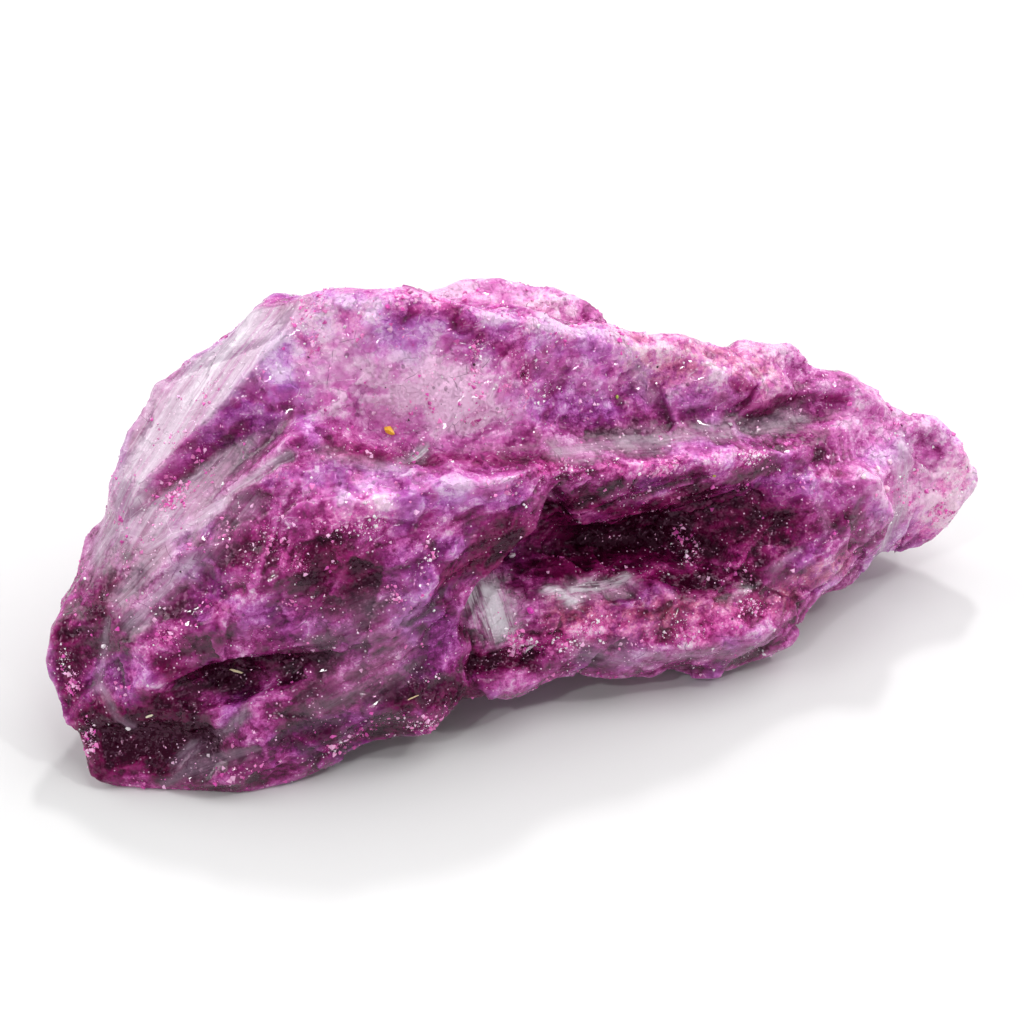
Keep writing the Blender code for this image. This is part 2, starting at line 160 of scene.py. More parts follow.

# Colour zones. Each is a bar on the stone: (the places of its start and end in the view, radius in pixels of
# the view, strength, how keenly it keeps to surfaces that face as its middle does). The kinds: painted_sheen
# is a painted, streaked grey reflection on clean faces, which it also makes smooth and coats; painted_glint
# is a painted glassy white highlight; pale and painted_shade change the tone alone, pale making it paler,
# partly for the stone's milky lilac and partly as painted light on tops that face the lamps, and
# painted_shade making it darker as painted shade; crust gathers crumbs, milk is cloudy, pink is bright, deep
# is dark garnet with painted shade in hollows, cracks and grooves, violet is bluer and warm is redder.
ZONES = {
    # Painted sheen: a streaked grey reflection of the lamps and the floor, painted on clean faces, which are
    # also made smooth and coated.
    "painted_sheen": {
        "clean face at the blunt end": ((252, 328), (140, 492), 75, 1.1, 0.9),
        "foot of that face": ((135, 500), (105, 545), 30, 0.9, 0.6),
        "band under the dark face, upper part": ((290, 455), (232, 490), 7, 1.0),
        "band under the dark face, lower part": ((225, 500), (150, 548), 13, 1.0),
        "band under the dark face, foot": ((165, 552), (120, 600), 16, 0.8),
        "streaks on the shoulder": ((252, 500), (205, 555), 14, 0.6),
        "streaks down the blunt end": ((190, 560), (135, 620), 14, 0.8),
        "edge of the dark bowl, upper": ((100, 690), (132, 728), 6, 0.75),
        "edge of the dark bowl, lower": ((178, 764), (248, 712), 9, 0.75),
        "streak down the blunt end": ((108, 622), (96, 690), 6, 0.65),
        "foot of the bowl": ((165, 780), (255, 748), 9, 0.6),
        "sheen on the front, blunt side": ((330, 640), (400, 610), 30, 0.3),
        "sheen on the front, pointed side": ((400, 660), (330, 700), 28, 0.3),
        "pale scale under the crown": ((425, 450), (400, 462), 9, 0.7),
        "groove above the bench": ((320, 452), (400, 470), 9, 0.45),
        "top of the long ledge, blunt half": ((560, 450), (680, 440), 15, 0.65, 0.7),
        "top of the long ledge, pointed half": ((690, 436), (800, 420), 13, 0.55, 0.7),
        "glassy facet on the lower ledge": ((484, 588), (494, 618), 22, 0.6),
        "glassy crest of the lower ledge": ((548, 596), (622, 582), 14, 0.5),
        "strip under the lower ledge, blunt half": ((580, 652), (660, 662), 13, 0.6),
        "strip under the lower ledge, pointed half": ((680, 662), (765, 640), 13, 0.55),
        "ridge at the end of the hollow": ((735, 598), (800, 550), 5, 0.5),
        "clean face of the point": ((884, 545), (905, 455), 15, 0.95),
        "pale edge of the point": ((872, 545), (880, 520), 8, 0.4),
        "steps by the point": ((820, 500), (828, 530), 5, 0.4),
        "steps by the point, second": ((860, 500), (852, 520), 5, 0.35),
        "ridge across the right of the crown": ((615, 342), (655, 395), 9, 0.4),
    },
    # Painted glints: glassy white highlights painted on a facet, on crests and on small shines.
    "painted_glint": {
        "glassy facet on the lower ledge": ((484, 590), (496, 616), 21, 1.0),
        "glassy crest of the lower ledge, blunt half": ((548, 592), (575, 600), 7, 0.9),
        "glassy crest of the lower ledge, pointed half": ((575, 590), (622, 577), 7, 0.9),
        "shine on the bench": ((340, 484), (345, 500), 5, 0.6),
        "shine under the crown": ((425, 450), (415, 458), 5, 0.7),
        "shine at the end of the hollow": ((745, 592), (760, 584), 4, 0.9),
    },
    # Paler tone: partly the stone's milky lilac, partly painted light on the crown, the tops and the point,
    # which face the lamps.
    "pale": {
        "crown, blunt half": ((340, 345), (380, 400), 75, 1.15),
        "crown, pointed half": ((420, 380), (500, 410), 75, 1.1),
        "right of the crown": ((560, 350), (700, 375), 60, 0.55),
        "top by the point": ((760, 365), (880, 415), 45, 0.65),
        "point": ((890, 470), (945, 490), 60, 1.1),
        "bench": ((320, 490), (490, 490), 38, 0.6),
        "clean face at the blunt end": ((240, 340), (150, 470), 60, 0.75),
        "dark face, top": ((285, 345), (255, 395), 32, 1.0),
        "rim behind the crown": ((440, 296), (560, 308), 30, 1.3),
        "side of the hollow by the point": ((790, 480), (830, 490), 30, 0.5),
    },
    # Painted shade: the tone darkened on the front, at the foot, in the groove under the crown, on the roof
    # of the hollow and under the ledges, where shade falls.
    "painted_shade": {
        "foot of the front": ((200, 740), (440, 705), 60, 1.75),
        "blunt end": ((90, 640), (110, 760), 60, 0.8),
        "shoulder under the dark patch": ((170, 650), (320, 660), 40, 0.6),
        "front of the shoulder": ((300, 560), (370, 600), 50, 0.6),
        "front beside the hollow": ((430, 620), (450, 680), 30, 0.6),
        "roof of the long hollow": ((560, 485), (780, 480), 22, 0.8),
        "lower ledge": ((560, 622), (760, 618), 28, 0.35),
        "top of the long ledge": ((560, 452), (800, 425), 15, 0.4),
        "groove under the crown": ((310, 445), (540, 462), 22, 1.0),
        "underside of the lower ledge": ((560, 660), (700, 672), 25, 0.6),
    },
    "crust": {
        "lip of the long ledge": ((548, 474), (620, 472), 9, 1.0),
        "lip of the long ledge, pointed half": ((620, 472), (760, 456), 7, 0.7),
        "front of the lower ledge": ((520, 645), (600, 632), 14, 1.0),
        "front of the lower ledge, pointed half": ((690, 625), (770, 605), 12, 0.4),
        "clean face, foot": ((215, 440), (150, 515), 12, 0.6),
        "bench": ((320, 530), (370, 530), 14, 0.4),
        "foot of the front": ((330, 752), (430, 728), 8, 0.8),
        "blunt end": ((66, 650), (92, 752), 8, 0.5),
        "crown's blunt side": ((300, 330), (310, 350), 12, 0.6),
        "crown, pointed side": ((480, 360), (560, 400), 18, 0.35),
        "edge by the point": ((870, 465), (895, 480), 8, 0.9),
        "lip over the front": ((395, 600), (430, 560), 10, 0.3),
    },
    "milk": {
        "cloud in the middle of the crown": ((430, 395), (462, 425), 48, 1.0),
        "cloud on the blunt side of the crown": ((320, 345), (300, 400), 30, 0.6),
        "cloud under the crown": ((400, 440), (440, 455), 20, 0.5),
        "scales on the crown": ((340, 360), (385, 378), 12, 0.7),
        # The spots on the bench are painted highlights.
        "spots on the bench": ((368, 490), (385, 496), 16, 1.0),
        "second spot on the bench": ((462, 490), (450, 485), 15, 0.8),
        "nose of the bench": ((500, 480), (520, 490), 14, 0.6),
        "granular patch on the shoulder": ((262, 500), (290, 525), 20, 0.8),
        "back of the crown": ((490, 318), (620, 335), 12, 0.8),
        "right of the crown": ((560, 345), (600, 380), 20, 0.35),
        "top near the point": ((850, 420), (900, 430), 22, 0.5),
        "knob": ((800, 370), (830, 390), 12, 0.4),
        "lower ledge, pointed half": ((660, 620), (720, 625), 16, 0.4),
        "point": ((925, 490), (940, 470), 18, 0.5),
        "foot of the front": ((300, 740), (240, 760), 14, 0.4),
        "swell by the crack": ((262, 668), (270, 690), 12, 0.45),
    },
    "pink": {
        "rim behind the crown, blunt half": ((300, 301), (432, 300), 14, 0.8),
        "rim behind the crown, middle": ((432, 300), (545, 304), 16, 1.2),
        "rim behind the crown, pointed half": ((560, 312), (668, 344), 12, 0.7),
        "top of the crown, blunt side": ((310, 315), (360, 320), 16, 0.8),
        "side of the crown": ((335, 330), (300, 350), 16, 0.6),
        "lower edge of the crown's cloud": ((360, 440), (300, 470), 14, 0.5),
        "bench below the spots": ((380, 510), (330, 520), 18, 0.9),
        "shoulder": ((250, 535), (290, 560), 22, 0.6),
        "lip of the long ledge, blunt half": ((546, 468), (620, 470), 10, 1.1),
        "lip of the long ledge, pointed half": ((620, 470), (760, 455), 9, 0.9),
        "front of the lower ledge, blunt half": ((520, 645), (600, 630), 15, 1.1),
        "front of the lower ledge, middle": ((600, 615), (660, 640), 12, 0.7),
        "front of the lower ledge, pointed half": ((690, 630), (760, 610), 18, 1.0),
        "tip": ((940, 515), (955, 480), 32, 1.5),
        "clean face of the point": ((900, 510), (930, 480), 26, 0.35),
        "underside of the tip": ((900, 545), (935, 525), 10, 0.7),
        # A painted glow and painted glints in the hollow.
        "glow above the lower ledge": ((682, 535), (692, 555), 13, 1.2),
        "red glint in the hollow": ((600, 566), (650, 576), 9, 0.6),
        "second red glint in the hollow": ((735, 555), (750, 572), 10, 0.6),
        "third red glint in the hollow": ((540, 555), (565, 562), 8, 0.5),
        "foot of the blunt end": ((120, 785), (200, 785), 9, 0.5),
        "foot of the front": ((330, 750), (430, 725), 12, 0.6),
        "front by the dark patch": ((240, 590), (220, 610), 18, 0.5),
        "front below the dark patch": ((300, 615), (340, 600), 16, 0.4),
        "blunt end below the streaks": ((150, 650), (175, 640), 14, 0.5),
        "blunt end above the bowl": ((165, 690), (135, 670), 14, 0.5),
        "above the pocket": ((340, 560), (370, 550), 8, 0.5),
    },
    # Dark garnet: partly the stone's own dark patches and blotches, partly painted shade in the long hollow,
    # the bowl, cracks, pockets, grooves and creases, at the foot, and on the dark face that turns from the
    # lamps.
    "deep": {
        "long hollow, blunt tip": ((444, 575), (500, 555), 18, 1.2),
        "long hollow, blunt half": ((510, 545), (600, 550), 38, 1.6),
        "long hollow, middle": ((600, 535), (700, 535), 40, 1.5),
        "long hollow, pointed half": ((700, 525), (775, 525), 38, 1.2),
        "long hollow, floor": ((480, 572), (560, 572), 10, 1.2),
        "long hollow, floor in the middle": ((610, 572), (710, 582), 17, 1.3),
        "long hollow, roof": ((560, 508), (700, 498), 20, 1.7),
        "front of the long ledge, blunt half": ((578, 500), (625, 507), 13, 1.7),
        "front of the long ledge, pointed half": ((625, 507), (700, 495), 12, 1.5),
        "long hollow, floor at the pointed end": ((700, 575), (750, 570), 16, 0.9),
        "bowl in the blunt end": ((106, 735), (160, 735), 40, 1.9),
        "bowl in the blunt end, pointed side": ((160, 732), (205, 736), 19, 1.7),
        "crack in the shoulder, blunt half": ((170, 672), (240, 675), 16, 1.1),
        "crack in the shoulder, pointed half": ((240, 670), (330, 650), 8, 0.9),
        "crack in the shoulder, end": ((330, 650), (400, 630), 4, 0.8),
        "dark patch on the shoulder": ((315, 560), (360, 580), 24, 1.0),
        "second dark patch": ((200, 545), (240, 560), 10, 0.5),
        "pocket under the lower ledge": ((475, 655), (525, 660), 14, 1.1),
        "crease beside the pocket": ((440, 600), (470, 640), 6, 0.7),
        "blunt end, outer edge": ((65, 640), (88, 755), 18, 1.0),
        "chips at the foot of the clean face": ((112, 585), (95, 612), 13, 1.3),
        "chip on the band": ((160, 556), (138, 578), 10, 1.3),
        "blotch on the clean face": ((190, 378), (182, 392), 5, 1.0),
        "blotch low on the clean face": ((118, 538), (112, 545), 4, 0.9),
        "dark face, middle": ((250, 410), (215, 452), 30, 0.35, 0.8),
        "dark face, foot": ((215, 450), (150, 510), 22, 0.85, 0.8),
        "shadow by the knob": ((735, 385), (765, 415), 14, 0.8),
        "crease under the knob": ((770, 398), (845, 400), 5, 0.8),
        "groove behind the long ledge": ((600, 436), (760, 424), 4, 0.8),
        "groove under the crown, blunt half": ((330, 445), (420, 462), 11, 0.9),
        "groove under the crown, pointed half": ((420, 462), (560, 462), 9, 0.8),
        "stripe down the crown": ((445, 305), (525, 372), 12, 0.8),
        "dark corner of the crown": ((395, 310), (440, 308), 9, 0.6),
        "notch in the crown's edge": ((300, 335), (306, 345), 5, 0.8),
        "side of the bench": ((430, 520), (480, 520), 10, 0.5),
        "crease by the point": ((815, 475), (870, 478), 6, 0.8),
        "shadow by the point": ((830, 515), (860, 510), 12, 0.6),
        "foot of the front": ((400, 700), (470, 690), 14, 0.7),
        "foot of the front, blunt half": ((230, 745), (330, 735), 9, 0.6),
        "front of the shoulder, streak": ((300, 690), (420, 650), 6, 0.5),
    },
    "violet": {
        "dark face, top": ((285, 350), (252, 400), 36, 1.3, 0.7),
        "dark face, middle": ((252, 400), (205, 460), 28, 1.0, 0.7),
        "crown, blunt top": ((325, 303), (405, 330), 30, 1.0),
        "crown, dark top": ((440, 310), (490, 340), 22, 0.9),
        "crown, pointed side": ((540, 400), (600, 410), 26, 0.6),
        "crown, right end": ((640, 380), (690, 400), 22, 0.5),
        "shoulder ridge": ((300, 400), (315, 440), 12, 0.7),
        "bench": ((420, 490), (520, 500), 20, 0.6),
        "shoulder, middle": ((290, 620), (360, 640), 24, 0.5),
        "front": ((400, 590), (440, 640), 34, 0.6),
        "near the point": ((900, 450), (870, 460), 16, 0.6),
        "beside the hollow": ((800, 470), (780, 460), 12, 0.5),
        "chip in the blunt end": ((200, 620), (190, 600), 12, 0.5),
    },
    "warm": {
        "lower ledge, blunt half": ((560, 620), (690, 618), 26, 1.0),
        "lower ledge, pointed half": ((700, 610), (790, 600), 16, 1.0),
        "end of the ledge": ((800, 580), (850, 560), 14, 0.8),
        "roof of the hollow": ((640, 495), (700, 500), 8, 0.5),
        "top, right": ((640, 350), (760, 370), 34, 0.7),
        "dark patch on the shoulder": ((335, 550), (360, 590), 10, 0.6),
    },
}

# A zone fades out between these shares of its radius. One that keeps to surfaces that face as its middle does
# comes in between these steps round its keenness, the cosine of the angle between them.
ZONE_FADES = (0.15, 1.5)
KEEN_STEPS = (-0.12, 0.08)
# How far a zone's edge wanders, in millimetres, and the wavelength of that.
ZONE_WANDER = 0.45
ZONE_WAVE = 1.8
# How much the streaks of the painted sheen zones are drawn out along them, and flattened across their faces.
STREAK_STRETCH = 36.0
STREAK_FLATTENING = 8.0

# Clouds that the skin keeps for the material: (size in millimetres, salt). Then their layers of detail, how
# strong the first is, and how strong each is beside the one before.
KEPT_CLOUDS = {"broad_clouds": (5.0, 60), "clouds": (1.7, 70)}
CLOUD_LAYERS = 5
CLOUD_STRENGTH = 0.34
CLOUD_WEAKENING = 0.6
# Relief that it keeps, which the material turns into painted highlights on ridges and painted shade in
# hollows:
# (rounds of easing that it stands out from, the height in millimetres that is full).
KEPT_RELIEF = {"fine_relief": (5, 0.06), "broad_relief": (80, 0.6)}

# Colours, linear, from the deepest to the palest part of each hue, at these tones.
TONES = (0.0, 0.25, 0.5, 0.7, 0.85, 1.0)
MAGENTA = ((0.018, 0.001, 0.008), (0.085, 0.004, 0.038), (0.29, 0.022, 0.17),
           (0.55, 0.10, 0.39), (0.70, 0.26, 0.57), (0.86, 0.52, 0.76))
VIOLET = ((0.014, 0.001, 0.012), (0.060, 0.005, 0.062), (0.22, 0.022, 0.23),
          (0.47, 0.12, 0.52), (0.63, 0.28, 0.69), (0.80, 0.54, 0.85))
PINK = ((0.030, 0.001, 0.010), (0.20, 0.004, 0.08), (0.54, 0.035, 0.28),
        (0.84, 0.18, 0.54), (0.91, 0.38, 0.68), (0.96, 0.66, 0.83))
ROSE = ((0.025, 0.002, 0.007), (0.15, 0.008, 0.035), (0.44, 0.060, 0.17),
        (0.74, 0.22, 0.36), (0.88, 0.46, 0.56), (0.96, 0.74, 0.80))
GARNET = ((0.028, 0.001, 0.010), (0.11, 0.002, 0.040), (0.26, 0.010, 0.11),
          (0.40, 0.045, 0.20), (0.60, 0.18, 0.38), (0.80, 0.45, 0.62))
# The greys of the painted sheen, a painted reflection.
PAINTED_SHEEN_GREYS = ((0.070, 0.016, 0.050), (0.18, 0.080, 0.15), (0.33, 0.22, 0.31),
          (0.47, 0.36, 0.46), (0.60, 0.51, 0.60), (0.78, 0.72, 0.80))

# The white of the painted glints.
PAINTED_GLINT_WHITE = (0.88, 0.83, 0.90, 1.0)
VEIN_PURPLE = (0.06, 0.010, 0.05, 1.0)
FLAW_LILAC = (0.90, 0.66, 0.86, 1.0)
DOT_PINK = (0.94, 0.62, 0.84, 1.0)
DOT_DARK = (0.03, 0.003, 0.02, 1.0)

# How much paler or deeper the tone is in each kind of zone. Pale is partly painted light, painted_shade is
# painted shade, and deep is partly painted shade.
TONE_IN_ZONES = {"pale": 0.32, "painted_shade": -0.17, "milk": 0.19, "pink": 0.08, "warm": 0.03, "deep": -0.25}

# How the material draws patterns out along the grain.
DRAWN_TURN = (0.0, radians(20), radians(6))
DRAWN_SCALE = (0.35, 1.0, 1.0)

# Lamps: (azimuth and elevation in degrees, distance, width and height in metres, radiance).
LAMPS = {
    "softbox above": (105, 66, 0.60, 0.55, 0.55, 2.82),
    "small lamp above": (155, 52, 0.50, 0.04, 0.04, 150.0),
    "softbox behind, blunt side": (240, 32, 0.50, 0.55, 0.30, 3.1),
    "softbox behind, pointed side": (100, 24, 0.50, 0.55, 0.22, 2.6),
    "small lamp in front": (12, 16, 0.50, 0.03, 0.03, 90.0),
    "small lamp, blunt side": (-55, 48, 0.50, 0.03, 0.03, 120.0),
    "small lamp, pointed side": (60, 52, 0.50, 0.03, 0.03, 120.0),
}
SKY_STRENGTH = 0.22
FLOOR_SIZE = 6.0
FLOOR_PAINT = (0.68, 0.68, 0.68, 1.0)


# ---------------- meshes

def deselect_all():
    """Leaves nothing selected."""
    for thing in bpy.context.view_layer.objects:
        thing.select_set(False)


def make_active(piece):
    """Selects the piece alone."""
    deselect_all()
    piece.select_set(True)
    bpy.context.view_layer.objects.active = piece


def apply_modifier(piece, kind, **settings):
    """Adds a modifier to the piece and applies it."""
    made = piece.modifiers.new(kind.lower(), kind)
    for name, value in settings.items():
        setattr(made, name, value)
    make_active(piece)
    bpy.ops.object.modifier_apply(modifier=made.name)


def add_object(name, data):
    """Adds an object with this mesh, camera or light to the scene."""
    made = bpy.data.objects.new(name, data)
    bpy.context.scene.collection.objects.link(made)
    return made


def merged_copy_of_solid():
    """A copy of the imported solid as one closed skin."""
    skin = add_object("stone", frame["nodes"][SOLID].data.copy())
    make_active(skin)
    bpy.ops.object.mode_set(mode="EDIT")
    bpy.ops.mesh.select_all(action="SELECT")
    bpy.ops.mesh.remove_doubles(threshold=0.01 * MM)
    bpy.ops.object.mode_set(mode="OBJECT")
    bpy.ops.mesh.customdata_custom_splitnormals_clear()
    return skin


def numbers(rows, name, width, kind=float):
    """The numbers that Blender keeps under a name in each of its rows."""
    flat = np.empty(len(rows) * width, dtype=kind)
    rows.foreach_get(name, flat)
    return flat.reshape(-1, width)


def points_of(piece):
    """The piece's vertices, in millimetres."""
    return numbers(piece.data.vertices, "co", 3) / MM


def set_points(piece, points):
    """Moves the piece's vertices, given in millimetres."""
    piece.data.vertices.foreach_set("co", (points * MM).ravel())
    piece.data.update()


def normals_of(piece):
    """The outward direction at each vertex."""
    return numbers(piece.data.vertex_normals, "vector", 3)


def triangles_of(piece):
    """The three vertices of each triangle."""
    return numbers(piece.data.polygons, "vertices", 3, int)


def neighbours_of(piece):
    """The vertices at the two ends of each edge."""
    return numbers(piece.data.edges, "vertices", 2, int).T


def keep_on(piece, name, values):
    """Keeps a number, or three, at each vertex of the piece, for its material."""
    three = values.ndim == 2
    layer = piece.data.attributes.new(name, "FLOAT_VECTOR" if three else "FLOAT", "POINT")
    layer.data.foreach_set("vector" if three else "value", values.astype(np.float32).ravel())


def read_from(piece, name):
    """The number kept at each vertex of the piece under a name."""
    return numbers(piece.data.attributes[name].data, "value", 1)[:, 0]


def kept_in_box(points):
    """The points, with those outside the solid's box moved onto its sides."""
    return np.clip(points, BOX_LOW, BOX_HIGH)


def eased(values, neighbours, rounds):
    """The values averaged with their neighbours' in a number of rounds."""
    first, second = neighbours
    count = len(values)
    share = 1 + np.bincount(first, minlength=count) + np.bincount(second, minlength=count)
    values = values.copy()
    for _ in range(rounds):
        total = values.copy()
        for column in range(values.shape[1]):
            total[:, column] += np.bincount(first, values[second, column], count)
            total[:, column] += np.bincount(second, values[first, column], count)
        values = total / share[:, None]
    return values


# ---------------- patterns on points in millimetres

def unit(vectors):
    """The vectors at length 1."""
    return vectors / np.linalg.norm(vectors, axis=-1, keepdims=True)


def along_grain(points, stretch, grain=GRAIN):
    """The points with the grain's direction squeezed, so that a pattern on them is drawn out."""
    grain = unit(grain)
    return points - np.outer(points @ grain, grain) * (1 - 1 / stretch)


def step_up(values, low, high):
    """0 below low, 1 above high, with a soft step between them."""
    share = np.clip((values - low) / (high - low), 0, 1)
    return share * share * (3 - 2 * share)


def scattered(cells, salt):
    """Three numbers from 0 to 1 for each cell, always the same for the same cell."""
    mixed = cells @ np.array(((127.1, 269.5, 113.5), (311.7, 183.3, 271.9), (74.7, 246.1, 124.6)))
    return np.modf(np.abs(np.sin(mixed + salt) * 43758.5453))[0]


def waves(points, wavelength, salt=0.0):
    """Soft noise, from -1 to 1."""
    turned = points @ np.array(((0.80, 0.36, 0.48), (-0.60, 0.48, 0.64), (0.0, -0.80, 0.60)))
    places = turned / (0.7 * wavelength) + 31.7 * (salt + 1)
    cells = np.floor(places)
    share = step_up(places - cells, 0, 1)
    total = np.zeros(len(points))
    for corner in product((0, 1), repeat=3):
        weight = np.prod(np.where(corner, share, 1 - share), axis=1)
        total += weight * scattered(cells + corner, 0.3)[:, 0]
    return 2 * total - 1


def clouds_at(points, size, salt):
    """Noise with clouds of a size in millimetres and ever finer detail, 0.5 in the middle."""
    total = np.full(len(points), 0.5)
    for layer in range(CLOUD_LAYERS):
        total += CLOUD_STRENGTH * CLOUD_WEAKENING ** layer * waves(points, size / 2 ** layer, salt + layer)
    return total


def wander_at(points):
    """How far a pattern is pushed aside at each point, in millimetres."""
    broad = np.stack([waves(points, ZONE_WAVE, salt) for salt in (3, 7, 11)], axis=1)
    fine = np.stack([waves(points, 0.35 * ZONE_WAVE, salt) for salt in (4, 8, 12)], axis=1)
    return ZONE_WANDER * (broad + 0.4 * fine)


def cells_near(points, size, lean, salt):
    """Goes through the cells round each point: the cell, its square distance, and how its slope lifts it."""
    places = points / size
    for step in product((-1, 0, 1), repeat=3):
        cell = np.floor(places) + step
        away = places - cell - scattered(cell, salt)
        tilts = (scattered(cell, salt + 1) - 0.5) * lean
        yield cell, (away * away).sum(axis=1), (away * tilts).sum(axis=1)


def breaks(points, size, salt):
    """Heights, in parts of the size, of dished breaks that meet in ridges."""
    lowest = np.full(len(points), np.inf)
    for _, distance, slope in cells_near(points, size, BREAK_LEAN, salt):
        lowest = np.minimum(lowest, BREAK_HOLLOW * distance + slope)
    return lowest - np.median(lowest)


def chips(points, size, salt):
    """Heights from about -0.5 to 0.5 of flat chips, each with its own tilt and level."""
    nearest = np.full(len(points), np.inf)
    heights = np.zeros(len(points))
    for cell, distance, slope in cells_near(points, size, CHIP_LEAN, salt):
        here = distance < nearest
        nearest[here] = distance[here]
        heights[here] = (slope + 0.5 * (scattered(cell, salt + 2)[:, 0] - 0.5))[here]
    return heights


def steps(points, width, salt):
    """Heights from -0.5 to 0.5 of shallow slopes that break off along wavy lines."""
    level = points @ unit(STEP_FALL) / width + 1.3 * waves(along_grain(points, 2.5), 3 * width, salt)
    share = level - np.floor(level)
    return np.minimum(share, (1 - share) * 6) - 0.5


def lift_at(points, smooth):
    """How far the small breaks, steps and swells lift each point, in millimetres."""
    drawn = along_grain(points, RELIEF_STRETCH)
    lift = np.zeros(len(points))
    for salt, (size, depth) in enumerate(BREAKS):
        lift += depth * breaks(drawn, size, salt * 5.0)
    for salt, (size, height) in enumerate(CHIPS):
        here = step_up(waves(points, CHIP_PATCHES, 40 + salt), *CHIPS_START)
        lift += height * here * chips(drawn + 0.3 * wander_at(points), size, 30 + 3 * salt)
    for salt, (width, height) in enumerate(STEPS):
        here = step_up(waves(points, STEP_PATCHES, 50 + salt), *STEPS_START)
        lift += height * here * steps(points, width, 20 + salt)
    for salt, (wavelength, height) in enumerate(SWELLS):
        lift += height * waves(drawn, wavelength, salt * 9.0)
    lift *= 1 - (1 - RELIEF_LEFT_ON_SMOOTH) * smooth
    return np.clip(lift, -FARTHEST_MOVE, FARTHEST_MOVE) * step_up(points[:, 2], *RELIEF_STARTS)


# ---------------- places and zones on the stone

def in_box(share):
    """The place, in millimetres, at a share of the solid's box."""
    return BOX_LOW + (BOX_HIGH - BOX_LOW) * np.array(share)


def heading(azimuth, elevation):
    """The direction from the stone towards something round it. Azimuth 0 is in front of it, towards -Y."""
    return Vector((sin(azimuth) * cos(elevation), -cos(azimuth) * cos(elevation), sin(elevation)))


def camera_place():
    """Where the camera stands, in metres."""
    return Vector(in_box(CAMERA_AIM)) * MM + heading(CAMERA_AZIMUTH, CAMERA_ELEVATION) * CAMERA_DISTANCE


def camera_turn():
    """The rotation of the camera."""
    return heading(CAMERA_AZIMUTH, CAMERA_ELEVATION).to_track_quat("Z", "Y")


@cache
def solid_surface():
    """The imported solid's surface, in millimetres, for finding what is seen at a pixel."""
    solid = frame["nodes"][SOLID]
    return BVHTree.FromPolygons(points_of(solid).tolist(), triangles_of(solid).tolist())


def seen_at(pixel):
    """The place on the solid, in millimetres, that the camera sees at a pixel of its view.

    Past the solid's outline it is the nearest place to what the camera aims at there.
    """
    across, down = pixel
    ahead = VIEW_WIDTH * CAMERA_LENS / CAMERA_SENSOR
    sight = Vector((across - VIEW_WIDTH / 2, VIEW_WIDTH / 2 - down, -ahead))
    sight.rotate(camera_turn())
    sight.normalize()
    eye = camera_place() / MM
    place = solid_surface().ray_cast(eye, sight)[0]
    if place is None:
        place = solid_surface().find_nearest(eye + sight * CAMERA_DISTANCE / MM)[0]
    return np.array(place)


@cache
def zone_bars():
    """The bars of each kind of zone, with their ends and radius in millimetres."""
    bars = {}
    for kind, zones in ZONES.items():
        bars[kind] = [(seen_at(start), seen_at(end), radius / PIXELS_PER_MM, *rest)
                      for start, end, radius, *rest in zones.values()]
    return bars


def zone_strength(points, directions, wander, start, end, radius, strength, keen=0.0):
    """How strongly a zone holds at each point."""
    bar = end - start
    share = np.clip(((points - start) @ bar) / (bar @ bar), 0, 1)
    nearest = start + share[:, None] * bar
    distance = np.linalg.norm(points + wander * min(1.0, radius) - nearest, axis=1)
    held = strength * (1 - step_up(distance, *(radius * fade for fade in ZONE_FADES)))
    if keen:
        middle = np.argmin(np.linalg.norm(points - (start + end) / 2, axis=1))
        held *= step_up(directions @ directions[middle], *(keen + step for step in KEEN_STEPS))
    return held


def zones_at(points, directions, wander):
    """How strongly each kind of zone holds at each point."""
    found = {}
    for kind, bars in zone_bars().items():
        found[kind] = np.zeros(len(points))
        for bar in bars:
            found[kind] = np.maximum(found[kind], zone_strength(points, directions, wander, *bar))
    return found


def streak_places(points, directions, wander):
    """Where streaks are looked up: places squeezed along the bar of the painted sheen zone that they are in.
    """
    places = along_grain(points, STREAK_STRETCH)
    strongest = np.full(len(points), 0.1)
    for start, end, *rest in zone_bars()["painted_sheen"]:
        held = zone_strength(points, directions, wander, start, end, *rest)
        here = held > strongest
        strongest[here] = held[here]
        middle = np.argmin(np.linalg.norm(points - (start + end) / 2, axis=1))
        flattened = along_grain(points[here], STREAK_FLATTENING, directions[middle])
        places[here] = along_grain(flattened, STREAK_STRETCH, end - start)
    return places


# ---------------- the stone's skin

def keep_relief(skin, neighbours):
    """Keeps how far each vertex stands out of its surroundings, 0.5 where it doesn't."""
    points = points_of(skin)
    normals = normals_of(skin)
    for name, (rounds, full) in KEPT_RELIEF.items():
        out = ((points - eased(points, neighbours, rounds)) * normals).sum(axis=1)
        keep_on(skin, name, np.clip(0.5 + 0.5 * out / full, 0, 1))


def paint_skin(skin):
    """Keeps the zones, streaks, clouds and relief on the skin, for the material and the crumbs."""
    neighbours = neighbours_of(skin)
    points = points_of(skin)
    directions = unit(eased(normals_of(skin), neighbours, PAINT_EASING))
    wander = wander_at(points)
    for kind, held in zones_at(points, directions, wander).items():
        keep_on(skin, kind, held)
    keep_on(skin, "streaks", streak_places(points, directions, wander))
    swirled = along_grain(points + 2 * wander, 1.4)
    for name, (size, salt) in KEPT_CLOUDS.items():
        keep_on(skin, name, clouds_at(swirled, size, salt))
    keep_relief(skin, neighbours)


def correct_form(points):
    """Moves the points by the local corrections."""
    for share, radius, move in PUSHES.values():
        distance = np.linalg.norm(points - in_box(share), axis=1)
        points += np.outer(1 - step_up(distance, 0, radius), move)


